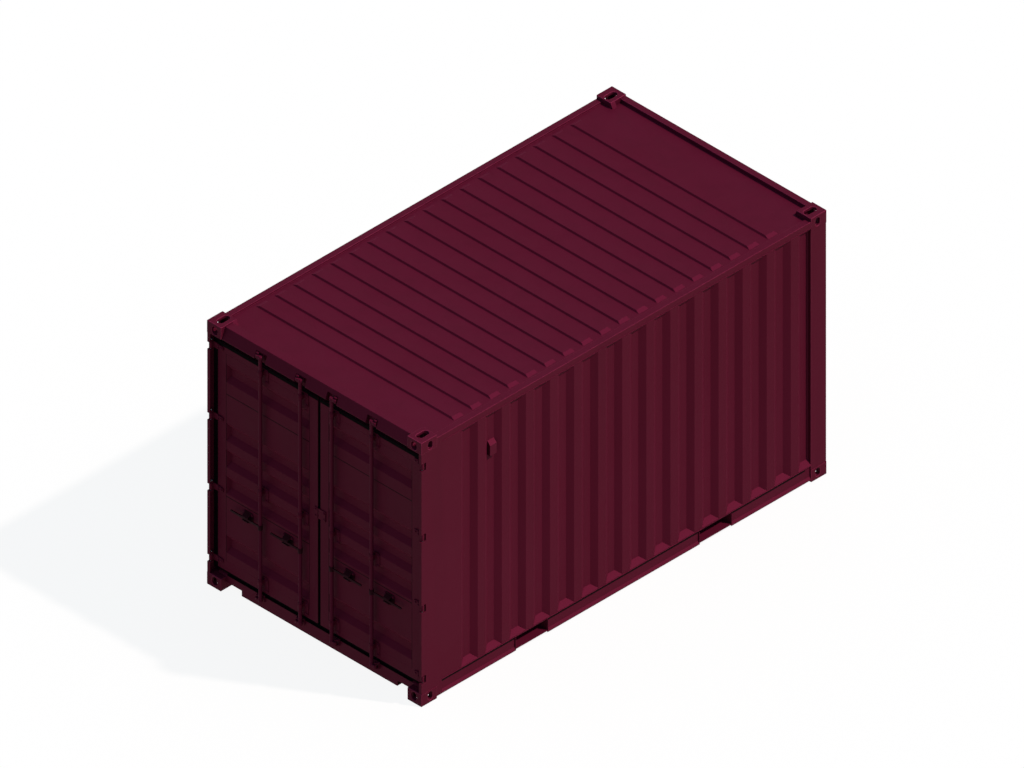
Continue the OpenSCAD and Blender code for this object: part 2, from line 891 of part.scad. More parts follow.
// Cross members: channels under the floor, left out where the fork pockets pass
module cross_members() {
  start = door_x(post_end + member_flange);
  stop = front_x(casting_length + 2 * member_flange);
  pocket_half = pocket_width / 2 + 2 * member_flange;
  places = [
    for (x = [start:member_pitch:stop])
      if (abs(abs(x + member_flange / 2) - pocket_spacing / 2) > pocket_half) x
  ];
  color(paint)
    for (x = places)
      along_y(right_y(rail_inside), -right_y(rail_inside))
        translate([x, floor_bottom - member_height])
          difference() {
            square([member_flange, member_height]);
            translate([member_plate, member_plate])
              square([member_flange, member_height - 2 * member_plate]);
          }
}

// Fork pockets: a roof plate and two webs right across, with a strap under each mouth
module forklift_pockets() {
  half = pocket_width / 2;
  color(paint)
    for (side = [-1, 1])
      translate([side * pocket_spacing / 2, 0, 0]) {
        along_y(right_y(rail_inside), -right_y(rail_inside))
          pane([-half - rail_plate, floor_bottom - rail_plate], [half + rail_plate, floor_bottom]);
        along_y(right_y(setback), -right_y(setback))
          for (edge = [-half - rail_plate, half])
            pane([edge, rail_lift], [edge + rail_plate, floor_bottom]);
        for (end = [0, 1])
          mirror([0, end, 0])
            box(
              [-half, right_y(setback), strap_lift],
              [half, right_y(setback + strap_width), strap_lift + rail_plate]
            );
      }
}

// Side vent: hood with a sloping top and an open underside, in the second trough
module side_vent() {
  floor_d = setback + trough_depth;
  face_d = setback + vent_set;
  top = height - vent_drop;
  middle = side_troughs[1] + trough_width / 2;
  half = trough_floor / 2 - over;
  inside = half - vent_sheet;
  difference() {
    along_x(door_x(middle - half), door_x(middle + half))
      polygon([
        [right_y(floor_d), top - vent_height],
        [right_y(floor_d), top],
        [right_y(face_d), top - trough_depth],
        [right_y(face_d), top - vent_height]
      ]);
    box(
      [door_x(middle - inside), right_y(face_d + vent_sheet), top - vent_height - over],
      [door_x(middle + inside), right_y(floor_d - vent_sheet), top - trough_depth - vent_sheet]
    );
  }
}

module side_vents() {
  color(paint) {
    side_vent();
    on_left() side_vent();
  }
}

// Cam keeper: back plate with two slanted jaws, open to the front, beside the tongue of the cam
module keeper(bar_y, cam_z, back) {
  box(
    [door_x(keeper_face), bar_y - keeper_end, cam_z - keeper_half],
    [door_x(back), bar_y + bar_radius, cam_z + keeper_half]
  );
  for (jaw = [cam_z - keeper_half, cam_z + keeper_gap])
    along_z(jaw, jaw + keeper_plate)
      polygon([
        [door_x(keeper_face), bar_y - keeper_end],
        [bar_x, bar_y - keeper_end + jaw_slant],
        [bar_x, bar_y - keeper_start],
        [door_x(keeper_face), bar_y - keeper_start]
      ]);
}

module cam_keepers() {
  color(paint)
    for (side = [0, 1], y = bars_of_leaf)
      mirror([0, side, 0]) {
        keeper(-y, upper_cam, header_pocket_back);
        keeper(-y, lower_cam, sill_face);
      }
}

// Hinge pins with a head that rests on the upper lug
module hinge_pins() {
  color(steel)
    for (side = [0, 1], z = hinge_heights)
      mirror([0, side, 0])
        translate([hinge_x, hinge_y, z]) {
          translate([0, 0, -pin_reach]) cylinder(r = pin_radius, h = 2 * pin_reach);
          translate([0, 0, pin_reach]) cylinder(r = pin_head_radius, h = pin_head);
        }
}

// Leaf frame: two stiles and two rails round the panel
module door_frame() {
  difference() {
    box([door_x(leaf_face), right_y(leaf_side), leaf_bottom], [door_x(leaf_back), -leaf_middle, leaf_top]);
    box(
      [door_x(leaf_face - over), right_y(leaf_side + stile), leaf_bottom + stile],
      [door_x(leaf_back + over), -leaf_middle - stile, leaf_top - stile]
    );
  }
}

// Leaf panel: pressed sheet with level troughs and two sheet seams, flush with the frame
module door_panel() {
  low_y = right_y(leaf_side + stile);
  high_y = -leaf_middle - stile;
  difference() {
    translate([door_x(leaf_face), 0, 0]) rotate(240, [1, 1, 1])
      pressed_sheet(
        leaf_bottom + stile, leaf_top - stile, low_y, high_y, sheet,
        [for (z = door_troughs) leaf_bottom + z], door_slope, door_floor, trough_depth, door_end,
        low_y + over, high_y - over
      );
    for (z = door_seams)
      box(
        [door_x(leaf_face - over), low_y - over, leaf_bottom + z - seam_width / 2],
        [door_x(leaf_face + seam_depth), high_y + over, leaf_bottom + z + seam_width / 2]
      );
  }
}

// Rubber seal round a leaf, with its lip over the middle gap
module door_seal(lip) {
  difference() {
    box(
      [door_x(seal_front), right_y(seal_edge), seal_bottom],
      [door_x(seal_front + seal_depth), -leaf_middle + lip, seal_top]
    );
    box([door_x(leaf_face), right_y(leaf_side), leaf_bottom], [door_x(leaf_back), -leaf_middle, leaf_top]);
  }
}

// Hinge blades: knuckle round the pin and a tapering strap on the face of the stile
module hinge_blades() {
  half = blade_height / 2;
  tip = blade_tip / 2;
  for (z = hinge_heights)
    difference() {
      union() {
        along_z(z - half, z + half) {
          translate([hinge_x, hinge_y]) circle(r = knuckle_radius);
          pane([hinge_x, hinge_y], [door_x(leaf_face), hinge_y + knuckle_radius]);
        }
        along_x(door_x(leaf_face - blade_plate), door_x(leaf_face))
          translate([hinge_y, z])
            polygon([
              [0, -half],
              [blade_straight, -half],
              [blade_reach, -tip],
              [blade_reach, tip],
              [blade_straight, half],
              [0, half]
            ]);
      }
      translate([hinge_x, hinge_y, z - half - over])
        cylinder(r = pin_radius + running, h = blade_height + 2 * over);
    }
}

// Bar guides: base plate on the leaf and a bored block round the bar
module bar_guides() {
  for (y = bars_of_leaf, lift = guide_heights) {
    z = leaf_bottom + lift;
    difference() {
      union() {
        along_x(door_x(guide_front), door_x(leaf_face))
          clipped_pane(
            [-y - guide_width / 2, z + guide_height - guide_base],
            [-y + guide_width / 2, z + guide_height],
            plate_cut
          );
        along_z(z - guide_height / 2, z + guide_height / 2) {
          translate([bar_x, -y]) circle(r = guide_radius);
          pane([bar_x, -y - bar_radius], [door_x(leaf_face), -y + bar_radius]);
        }
      }
      translate([bar_x, -y, z - guide_height])
        cylinder(r = bar_radius + running, h = 2 * guide_height);
    }
  }
}

// Handle catches: base plate on the leaf, with a braced ledge under the handle and one over it
module handle_catches() {
  clear = handle_height / 2 + swing_clear;
  front = door_x(bar_r - handle_plate);
  back = door_x(guide_front);
  for (y = bars_of_leaf) {
    middle = -y - catch_reach;
    along_x(back, door_x(leaf_face))
      clipped_pane(
        [middle - catch_width / 2, handle_z - catch_height / 2],
        [middle + catch_width / 2, handle_z + catch_height / 2],
        plate_cut
      );
    along_y(middle - catch_ledge_width / 2, middle + catch_ledge_width / 2)
      for (side = [-1, 1])
        polygon([
          [front, handle_z + side * clear],
          [back, handle_z + side * clear],
          [back, handle_z + side * (clear + catch_ledge + catch_brace)],
          [front, handle_z + side * (clear + catch_ledge)]
        ]);
  }
}

// Seal plates at the middle gap, one on each leaf
module seal_plate(from, to) {
  z = leaf_bottom + leaf_height / 2 - seal_plate_drop;
  box(
    [door_x(leaf_face - seal_plate), from, z - seal_plate_height / 2],
    [door_x(leaf_face), to, z + seal_plate_height / 2]
  );
}

// Lock bar: a round bar with a locking cam near each end
module lock_bar(y) {
  translate([bar_x, -y, 0]) {
    translate([0, 0, bar_bottom]) cylinder(r = bar_radius, h = bar_top - bar_bottom);
    for (z = cams)
      along_z(z - cam_height / 2, z + cam_height / 2) {
        circle(r = cam_radius);
        pane([-cam_width / 2, -cam_reach + cam_width / 2], [cam_width / 2, 0]);
        translate([0, -cam_reach + cam_width / 2]) circle(d = cam_width);
      }
  }
}

// Handle: hub round the bar and a long lever with a rounded end, towards the hinges
module handle(y) {
  half = handle_height / 2;
  translate([bar_x, -y, handle_z])
    difference() {
      union() {
        translate([0, 0, -handle_hub / 2]) cylinder(r = bar_radius + guide_wall, h = handle_hub);
        along_x(-handle_plate / 2, handle_plate / 2) {
          pane([half - handle_reach, -half], [0, half]);
          translate([half - handle_reach, 0]) circle(r = half);
        }
      }
      translate([0, 0, -handle_hub]) cylinder(r = bar_radius, h = 2 * handle_hub);
    }
}

module right_door_frame() {
  color(paint) door_frame();
}

module left_door_frame() {
  color(paint) on_left() door_frame();
}

module right_door_panel() {
  color(paint) door_panel();
}

module left_door_panel() {
  color(paint) on_left() door_panel();
}

module right_door_seal() {
  color(rubber) door_seal(seal_reach);
}

module left_door_seal() {
  color(rubber) on_left() door_seal(seal_lip);
}

module right_hinge_blades() {
  color(paint) hinge_blades();
}

module left_hinge_blades() {
  color(paint) on_left() hinge_blades();
}

module right_bar_guides() {
  color(paint) bar_guides();
}

module left_bar_guides() {
  color(paint) on_left() bar_guides();
}

module right_handle_catches() {
  color(paint) handle_catches();
}

module left_handle_catches() {
  color(paint) on_left() handle_catches();
}

module right_seal_plate() {
  color(paint) seal_plate(-leaf_middle - right_plate_width, seal_reach - leaf_middle);
}

module left_seal_plate() {
  color(paint) on_left() seal_plate(-leaf_middle - left_plate_width, seal_lip - leaf_middle);
}

module right_outer_bar() {
  color(steel) lock_bar(bar_outer);
}

module right_inner_bar() {
  color(steel) lock_bar(bar_inner);
}

module left_outer_bar() {
  color(steel) on_left() lock_bar(bar_outer);
}

module left_inner_bar() {
  color(steel) on_left() lock_bar(bar_inner);
}

module right_outer_handle() {
  color(steel) handle(bar_outer);
}

module right_inner_handle() {
  color(steel) handle(bar_inner);
}

module left_outer_handle() {
  color(steel) on_left() handle(bar_outer);
}

module left_inner_handle() {
  color(steel) on_left() handle(bar_inner);
}

bottom_castings();
top_castings();
left_door_post();
right_door_post();
left_front_post();
right_front_post();
left_bottom_rail();
right_bottom_rail();
top_side_rails();
front_bottom_rail();
front_top_rail();
door_sill();
door_header();
left_side_wall();
right_side_wall();
front_wall();
roof_panel();
floor_deck();
cross_members();
forklift_pockets();
side_vents();
cam_keepers();
hinge_pins();
left_door_frame();
left_door_panel();
left_door_seal();
left_hinge_blades();
left_bar_guides();
left_handle_catches();
left_seal_plate();
right_door_frame();
right_door_panel();
right_door_seal();
right_hinge_blades();
right_bar_guides();
right_handle_catches();
right_seal_plate();
left_outer_bar();
left_outer_handle();
left_inner_bar();
left_inner_handle();
right_inner_bar();
right_inner_handle();
right_outer_bar();
right_outer_handle();
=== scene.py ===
import json
import math

import bmesh
import bpy
from mathutils import Matrix, Vector


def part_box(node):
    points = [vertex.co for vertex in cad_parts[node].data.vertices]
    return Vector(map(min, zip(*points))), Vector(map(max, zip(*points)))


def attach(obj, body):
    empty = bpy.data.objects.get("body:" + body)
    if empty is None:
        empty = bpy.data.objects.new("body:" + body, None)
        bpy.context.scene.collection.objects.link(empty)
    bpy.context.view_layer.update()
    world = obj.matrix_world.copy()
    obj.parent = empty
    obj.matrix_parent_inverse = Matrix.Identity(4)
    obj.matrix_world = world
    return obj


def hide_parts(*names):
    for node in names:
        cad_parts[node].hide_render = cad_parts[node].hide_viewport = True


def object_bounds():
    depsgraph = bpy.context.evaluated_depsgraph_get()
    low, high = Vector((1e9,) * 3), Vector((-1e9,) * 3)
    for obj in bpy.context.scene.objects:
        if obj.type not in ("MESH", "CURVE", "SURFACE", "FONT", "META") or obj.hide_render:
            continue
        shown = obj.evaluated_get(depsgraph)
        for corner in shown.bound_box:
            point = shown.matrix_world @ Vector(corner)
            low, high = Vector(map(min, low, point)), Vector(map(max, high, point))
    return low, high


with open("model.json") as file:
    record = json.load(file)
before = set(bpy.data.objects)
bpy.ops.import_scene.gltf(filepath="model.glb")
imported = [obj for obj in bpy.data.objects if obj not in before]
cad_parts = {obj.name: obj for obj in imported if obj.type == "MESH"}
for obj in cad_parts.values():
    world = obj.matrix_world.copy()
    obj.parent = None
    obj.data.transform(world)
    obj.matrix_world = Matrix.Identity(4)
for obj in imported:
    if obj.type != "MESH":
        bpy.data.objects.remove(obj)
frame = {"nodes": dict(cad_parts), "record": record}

cad_low, cad_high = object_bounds()
nodes = frame["nodes"]

# Units in metres, and the two sides and two lock bars of the door end

MM = 0.001
SIDES = {"left": 1, "right": -1}
BARS = ("outer", "inner")

# Picture: where the nearest bottom corner lies in it, and how large a metre is

PICTURE_WIDTH = 1024
PICTURE_HEIGHT = 768
CORNER_PIXEL = (421.5, 707.45)
PIXELS_PER_METRE = 124.6
CAMERA_DISTANCE = 20.0
CAMERA_FAR = 200.0

# Light: direction to the sun, its colour and level, and the soft light from above and below

SUN_FROM = Vector((0.33, -0.53, 0.781))
SUN_COLOUR = (1.0, 0.84, 0.74)
SUN_LEVEL = 3.25
SUN_SOFTNESS = math.radians(2.0)
SKY_LIGHT = (0.19, 0.32, 0.42, 1.0)
GROUND_LIGHT = (0.42, 0.40, 0.22, 1.0)
HORIZON_BLEND = 0.15
WHITE = (1.0, 1.0, 1.0, 1.0)

# Floor of the studio

FLOOR_HALF = 40.0
FLOOR_GAP = 1 * MM
FLOOR_GLOW = 0.9
FLOOR_DIFFUSE = 0.1


# Colours


def linear(red, green, blue):
    """An sRGB colour from 0 to 255 as linear red, green, blue and alpha."""
    def channel(value):
        value /= 255
        return value / 12.92 if value <= 0.04045 else ((value + 0.055) / 1.055) ** 2.4
    return (channel(red), channel(green), channel(blue), 1.0)


WINE = linear(82, 17, 39)
WINE_FADED = linear(85, 20, 43)
GEAR = linear(80, 17, 40)
GEAR_FADED = linear(85, 21, 45)
# Painted shade: darker paint for the handles and catches, standing in for the shade round them
SHADED_GEAR = linear(40, 10, 19)
SHADED_GEAR_FADED = linear(48, 14, 25)
# Painted highlight: lighter paint for splays and rounded edges
HIGHLIGHT_TONE = linear(104, 28, 54)
HIGHLIGHT_BRIGHT = linear(128, 44, 74)
RUN_MARK = (0.012, 0.004, 0.006, 1.0)
# Painted shade: the dark colour mixed in where corners and close pieces occlude the light
SHADE_TONE = (0.004, 0.001, 0.002, 1.0)
ZINC_DARK = (0.30, 0.29, 0.29, 1.0)
ZINC_PALE = (0.52, 0.51, 0.50, 1.0)
# Sealant in the joints, also used as painted shadow on the bottom rails
SEALANT_AND_SHADOW_DARK = (0.006, 0.002, 0.003, 1.0)
SEALANT_AND_SHADOW_PALE = (0.014, 0.004, 0.007, 1.0)
RUBBER_BLACK = (0.0015, 0.001, 0.0015, 1.0)
RUBBER_BLOOM = (0.004, 0.003, 0.0035, 1.0)
WOOD_DARK = (0.19, 0.095, 0.045, 1.0)
WOOD_PALE = (0.34, 0.20, 0.105, 1.0)
WOOD_SCUFF = (0.10, 0.07, 0.05, 1.0)

# Paint: gloss, share of metal, painted shade in corners, painted highlight on splays, fine grain and dents

PAINT_GLOSS = 0.012
PAINT_METAL = 0.07
SHADE_REACH = 50 * MM
SHADE_DEPTH = 0.28
SHADE_SAMPLES = 8
SPLAY_HIGHLIGHT = 0.5
SHEET_GRAIN = 420
SHEET_DENTS = 3 * MM
GEAR_GRAIN = 520
GEAR_DENTS = 0.6 * MM


# Materials


def feed(tree, value, socket):
    """Links an output to a socket, or sets the socket to a constant."""
    if isinstance(value, bpy.types.NodeSocket):
        tree.links.new(value, socket)
    else:
        socket.default_value = value


def mixed(tree, amount, first, second, mode="MIX"):
    """The output of a colour mix, whose three inputs are outputs or constants."""
    node = tree.nodes.new("ShaderNodeMix")
    node.data_type = "RGBA"
    node.blend_type = mode
    for name, value in (("Factor", amount), ("A", first), ("B", second)):
        feed(tree, value, next(i for i in node.inputs if i.name == name and i.enabled))
    return next(o for o in node.outputs if o.enabled)


class Shader:
    """A material's node tree with short calls for the nodes used here."""

    def __init__(self, name):
        self.material = bpy.data.materials.new(name)
        self.material.use_nodes = True
        self.tree = self.material.node_tree
        self.tree.nodes.clear()
        self.surface = self.tree.nodes.new("ShaderNodeBsdfPrincipled")
        output = self.tree.nodes.new("ShaderNodeOutputMaterial")
        self.link(self.surface.outputs["BSDF"], output.inputs["Surface"])
        coordinates = self.tree.nodes.new("ShaderNodeTexCoord")
        self.place = coordinates.outputs["Object"]
        self.facing = coordinates.outputs["Normal"]

    def link(self, source, target):
        self.tree.links.new(source, target)

    def stretched(self, scale):
        mapping = self.tree.nodes.new("ShaderNodeMapping")
        mapping.inputs["Scale"].default_value = scale
        self.link(self.place, mapping.inputs["Vector"])
        return mapping.outputs["Vector"]

    def noise(self, scale, detail, roughness=0.55, place=None):
        node = self.tree.nodes.new("ShaderNodeTexNoise")
        node.inputs["Scale"].default_value = scale
        node.inputs["Detail"].default_value = detail
        node.inputs["Roughness"].default_value = roughness
        self.link(place or self.place, node.inputs["Vector"])
        return node.outputs["Fac"]

    def spread(self, value, low, high, from_low=0.3, from_high=0.7):
        node = self.tree.nodes.new("ShaderNodeMapRange")
        node.inputs["From Min"].default_value = from_low
        node.inputs["From Max"].default_value = from_high
        node.inputs["To Min"].default_value = low
        node.inputs["To Max"].default_value = high
        self.link(value, node.inputs["Value"])
        return node.outputs["Result"]

    def blend(self, amount, first, second, mode="MIX"):
        return mixed(self.tree, amount, first, second, mode)

    def calculate(self, operation, *values):
        node = self.tree.nodes.new("ShaderNodeMath")
        node.operation = operation
        for value, socket in zip(values, node.inputs):
            self.link(value, socket)
        return node.outputs["Value"]

    def bump(self, height, distance, strength, below=None):
        node = self.tree.nodes.new("ShaderNodeBump")
        node.inputs["Distance"].default_value = distance
        node.inputs["Strength"].default_value = strength
        self.link(height, node.inputs["Height"])
        if below is not None:
            self.link(below, node.inputs["Normal"])
        return node.outputs["Normal"]

    def set(self, **values):
        for name, value in values.items():
            feed(self.tree, value, self.surface.inputs[name.replace("_", " ")])


def corner_shade(shader, tone):
    """Painted shade: darkens a colour by ambient occlusion in corners and under pieces that lie close over
    the surface.
    """
    corner = shader.tree.nodes.new("ShaderNodeAmbientOcclusion")
    corner.samples = SHADE_SAMPLES
    corner.inputs["Distance"].default_value = SHADE_REACH
    shade = shader.spread(corner.outputs["AO"], low=SHADE_DEPTH, high=0.0, from_low=0.2, from_high=0.8)
    return shader.blend(shade, tone, SHADE_TONE)


def splay_highlight(shader):
    """A value above 0 on faces that look outward to the side and up, where a painted highlight lightens the
    paint.
    """
    split = shader.tree.nodes.new("ShaderNodeSeparateXYZ")
    shader.link(shader.facing, split.inputs["Vector"])
    outward = shader.calculate("ABSOLUTE", split.outputs["Y"])
    slope = shader.calculate("MULTIPLY", outward, split.outputs["Z"])
    return shader.spread(slope, low=0.0, high=SPLAY_HIGHLIGHT, from_low=0.12, from_high=0.32)


def steel_paint(name, colour, faded, grain, dents):
    """Satin paint on steel: soft fading, faint run marks, a painted highlight on splays, painted shade in
    corners, orange peel.
    """
    shader = Shader(name)
    fade = shader.spread(shader.noise(scale=0.8, detail=4), low=0.0, high=0.55)
    tone = shader.blend(fade, colour, faded)
    streaks = shader.stretched((7.0, 7.0, 0.5))
    runs = shader.noise(scale=1.0, detail=5, roughness=0.6, place=streaks)
    run_share = shader.spread(runs, low=0.0, high=0.10, from_low=0.45, from_high=0.75)
    tone = shader.blend(run_share, tone, RUN_MARK)
    specks = shader.noise(scale=90, detail=2)
    speck_share = shader.spread(specks, low=0.0, high=0.06, from_low=0.5, from_high=0.8)
    tone = shader.blend(speck_share, tone, faded, "SCREEN")
    # Painted highlight on splays that face sideways and up
    tone = shader.blend(splay_highlight(shader), tone, HIGHLIGHT_TONE)
    peel = shader.bump(shader.noise(scale=grain, detail=2), distance=0.4 * MM, strength=0.25)
    ripple = shader.bump(shader.noise(scale=2.2, detail=2), distance=dents, strength=0.35, below=peel)
    # The base colour carries painted shade in corners
    shader.set(
        Base_Color=corner_shade(shader, tone),
        Metallic=PAINT_METAL,
        Roughness=shader.spread(shader.noise(scale=5.0, detail=4), low=0.40, high=0.52),
        Specular_IOR_Level=PAINT_GLOSS,
        Normal=ripple,
    )
    return shader.material


def cast_paint(name, colour, faded):
    """Thicker paint over the rough skin of a steel casting."""
    shader = Shader(name)
    fade = shader.spread(shader.noise(scale=3.0, detail=4), low=0.0, high=0.5)
    tone = shader.blend(fade, colour, faded)
    skin = shader.noise(scale=140, detail=6, roughness=0.7)
    # The base colour carries painted shade in corners
    shader.set(
        Base_Color=corner_shade(shader, tone),
        Metallic=PAINT_METAL,
        Roughness=shader.spread(shader.noise(scale=30, detail=4), low=0.42, high=0.56),
        Specular_IOR_Level=PAINT_GLOSS,
        Normal=shader.bump(skin, distance=1.5 * MM, strength=0.35),
    )
    return shader.material


def zinc(name):
    """Dull zinc plate with a fine mottle."""
    shader = Shader(name)
    shader.set(
        Base_Color=shader.blend(shader.noise(scale=220, detail=4), ZINC_DARK, ZINC_PALE),
        Metallic=0.35,
        Roughness=shader.spread(shader.noise(scale=90, detail=3), low=0.38, high=0.55),
        Normal=shader.bump(shader.noise(scale=300, detail=3), distance=0.3 * MM, strength=0.3),
    )
    return shader.material


def sealant_and_shadow_finish(name):
    """Dark sealing compound, slightly uneven, which on the bottom rails also serves as painted shadow."""
    shader = Shader(name)
    shader.set(
        Base_Color=shader.blend(shader.noise(scale=60, detail=3), SEALANT_AND_SHADOW_DARK, SEALANT_AND_SHADOW_PALE),
        Roughness=shader.spread(shader.noise(scale=45, detail=3), low=0.55, high=0.75),
        Specular_IOR_Level=PAINT_GLOSS,
        Normal=shader.bump(shader.noise(scale=120, detail=3), distance=0.5 * MM, strength=0.4),
    )
    return shader.material


def seal_rubber(name):
    """Black rubber with a dusty bloom and a fine grain."""
    shader = Shader(name)
    bloom = shader.spread(shader.noise(scale=14, detail=5), low=0.0, high=0.6)
    shader.set(
        Base_Color=shader.blend(bloom, RUBBER_BLACK, RUBBER_BLOOM),
        Roughness=shader.spread(shader.noise(scale=40, detail=3), low=0.7, high=0.85),
        Specular_IOR_Level=0.01,
        Normal=shader.bump(shader.noise(scale=260, detail=3), distance=0.6 * MM, strength=0.4),
    )
    return shader.material


def plywood(name):
    """Dark hardwood plywood with scuffs and a long grain along the container."""
    shader = Shader(name)
    fibres = shader.stretched((1.6, 42.0, 20.0))
    grain = shader.noise(scale=1.0, detail=8, roughness=0.65, place=fibres)
    tone = shader.blend(shader.spread(grain, low=0.0, high=1.0), WOOD_DARK, WOOD_PALE)
    scuffs = shader.noise(scale=2.0, detail=6, roughness=0.7)
    scuff_share = shader.spread(scuffs, low=0.0, high=0.45, from_low=0.5, from_high=0.75)
    shader.set(
        Base_Color=shader.blend(scuff_share, tone, WOOD_SCUFF),
        Roughness=shader.spread(grain, low=0.55, high=0.75),
        Specular_IOR_Level=0.3,
        Normal=shader.bump(grain, distance=0.8 * MM, strength=0.4),
    )
    return shader.material


paint = steel_paint("wine_paint", WINE, WINE_FADED, SHEET_GRAIN, SHEET_DENTS)
gear_paint = steel_paint("lock_gear_paint", GEAR, GEAR_FADED, GEAR_GRAIN, GEAR_DENTS)
# Handles and catches get a darker paint as painted shade
shaded_handle_paint = steel_paint("shaded_handle_paint", SHADED_GEAR, SHADED_GEAR_FADED, GEAR_GRAIN, GEAR_DENTS)
# Painted highlight: a lighter paint for the bevel faces of rounded edges
edge_highlight_paint = steel_paint("edge_highlight_material", HIGHLIGHT_TONE, HIGHLIGHT_BRIGHT, GEAR_GRAIN, GEAR_DENTS)
casting_paint = cast_paint("casting_paint", WINE, WINE_FADED)
pin_zinc = zinc("pin_zinc")
joint_sealant_and_shadow = sealant_and_shadow_finish("joint_sealant_and_shadow")
rubber = seal_rubber("seal_rubber")
floor_wood = plywood("floor_plywood")

SLOT_MATERIALS = {
    "painted_steel": paint,
    "lock_gear_steel": gear_paint,
    "door_rubber": rubber,
    "floor_plywood": floor_wood,
}
NODE_MATERIALS = {
    "bottom_castings": casting_paint,
    "top_castings": casting_paint,
    "hinge_pins": pin_zinc,
    "left_handle_catches": shaded_handle_paint,
    "right_handle_catches": shaded_handle_paint,
    "left_outer_handle": shaded_handle_paint,
    "left_inner_handle": shaded_handle_paint,
    "right_outer_handle": shaded_handle_paint,
    "right_inner_handle": shaded_handle_paint,
}


# CAD nodes: finish and softened edges, with a lighter paint as a painted highlight on the edges named here

EDGE_ROUND = {
    "bottom_castings": 5 * MM,
    "top_castings": 5 * MM,
    "top_side_rails": 4 * MM,
    "front_top_rail": 4 * MM,
    "left_front_post": 3 * MM,
    "right_front_post": 3 * MM,
    "left_bottom_rail": 2 * MM,
    "right_bottom_rail": 2 * MM,
    "side_vents": 2 * MM,
}
DEFAULT_ROUND = 1.5 * MM
EDGE_STEPS = 3
EDGE_ANGLE = math.radians(40)
EDGE_MATERIAL = 1
MERGE_REACH = 0.02 * MM
FLAT_ANGLE = math.radians(0.5)
SHARP_NODES = ("side_wall", "front_wall", "roof_panel", "door_panel", "door_seal", "floor_deck")


def finish_node(name, node, slot):
    """Gives a CAD node its material and rounds its edges, apart from sheets and seals."""
    node.data.materials.clear()
    node.data.materials.append(NODE_MATERIALS.get(name, SLOT_MATERIALS[slot]))
    if name.endswith(SHARP_NODES):
        return
    weld = node.modifiers.new("weld", "WELD")
    weld.merge_threshold = MERGE_REACH
    flat = node.modifiers.new("flat", "DECIMATE")
    flat.decimate_type = "DISSOLVE"
    flat.angle_limit = FLAT_ANGLE
    edges = node.modifiers.new("edges", "BEVEL")
    edges.width = EDGE_ROUND.get(name, DEFAULT_ROUND)
    edges.segments = EDGE_STEPS
    edges.limit_method = "ANGLE"
    edges.angle_limit = EDGE_ANGLE
    # Small edges inside the castings would hold their rounding back
    edges.use_clamp_overlap = not name.endswith("_castings")
    # The bevel faces of these nodes get the lighter paint as a painted highlight
    if name in EDGE_ROUND:
        node.data.materials.append(edge_highlight_paint)
        edges.material = EDGE_MATERIAL


for part in frame["record"]["subparts"]:
    finish_node(part["node"], nodes[part["node"]], part["material_slot"])


# Forms that the added pieces are made of

DEFAULT_SMOOTH = 30.0
WELD_SMOOTH = 60.0


class Form:
    """Points and faces of one piece, gathered from simple sweeps."""

    def __init__(self):
        self.points = []
        self.faces = []

    def loft(self, rings, around=False):
        """Joins rings of equally many points, with end caps or back to the first ring."""
        base = len(self.points)
        size = len(rings[0])
        for ring in rings:
            self.points.extend(Vector(point) for point in ring)
        steps = len(rings) if around else len(rings) - 1
        for i in range(steps):
            here = base + i * size
            there = base + (i + 1) % len(rings) * size
            for j in range(size):
                k = (j + 1) % size
                self.faces.append((here + j, here + k, there + k, there + j))
        if not around:
            last = base + (len(rings) - 1) * size
            self.faces.append(tuple(base + j for j in range(size)))
            self.faces.append(tuple(last + j for j in range(size)))

    def turned(self, foot, axis, profile, sides):
        """A turned piece: rings of (radius, distance) along an axis from its foot."""
        axis = Vector(axis).normalized()
        across = axis.orthogonal().normalized()
        beside = axis.cross(across)
        turns = [2 * math.pi * (j + 0.5) / sides for j in range(sides)]
        rings = []
        for radius, along in profile:
            centre = Vector(foot) + axis * along
            rings.append([centre + radius * (across * math.cos(a) + beside * math.sin(a)) for a in turns])
        self.loft(rings)

    def block(self, low, high):
        """A plain block between two corners."""
        corners = ((0, 0), (1, 0), (1, 1), (0, 1))
        span = Vector(high) - Vector(low)
        rings = [
            [Vector(low) + Vector((span.x * a, span.y * b, span.z * c)) for a, b in corners] for c in (0, 1)
        ]
        self.loft(rings)

    def piece(self, name, material, body, smooth=DEFAULT_SMOOTH):
        """Makes the object, smooth up to an angle in degrees, and hangs it on its body."""
        mesh = bpy.data.meshes.new(name)
        mesh.from_pydata([tuple(point) for point in self.points], [], self.faces)
        form = bmesh.new()
        form.from_mesh(mesh)
        bmesh.ops.recalc_face_normals(form, faces=form.faces)
        form.to_mesh(mesh)
        form.free()
        mesh.shade_smooth()
        mesh.set_sharp_from_angle(angle=math.radians(smooth))
        mesh.materials.append(material)
        made = bpy.data.objects.new(name, mesh)
        bpy.context.scene.collection.objects.link(made)
        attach(made, body)
        return made


def metres(profile, size=1.0):
    """A profile of (radius, distance) in millimetres as metres, at a share of its size."""
    return [(radius * MM * size, along * MM * size) for radius, along in profile]


WASHER = [(13, 0), (13, 1.4), (12.2, 2)]
WASHER_SIDES = 20
BOLT_HEAD = [(9.5, 0), (9.5, 4.6), (8.2, 5.8)]
HEXAGON = 6
SMALL_BOLT = 0.9


def bolt(form, foot, size=1.0):
    """A hexagon bolt head on a washer, facing the door end."""
    out = Vector((-1, 0, 0))
    washer = metres(WASHER, size)
    top = Vector(foot) + out * washer[-1][1]
    form.turned(foot, out, washer, WASHER_SIDES)
    form.turned(top, out, metres(BOLT_HEAD, size), HEXAGON)


BEAD_STEP = 5 * MM
BEAD_SIDES = 6
BEAD_DIP = 0.84
BEAD_WAVES = ((0.08, 0.37), (0.05, 1.31))


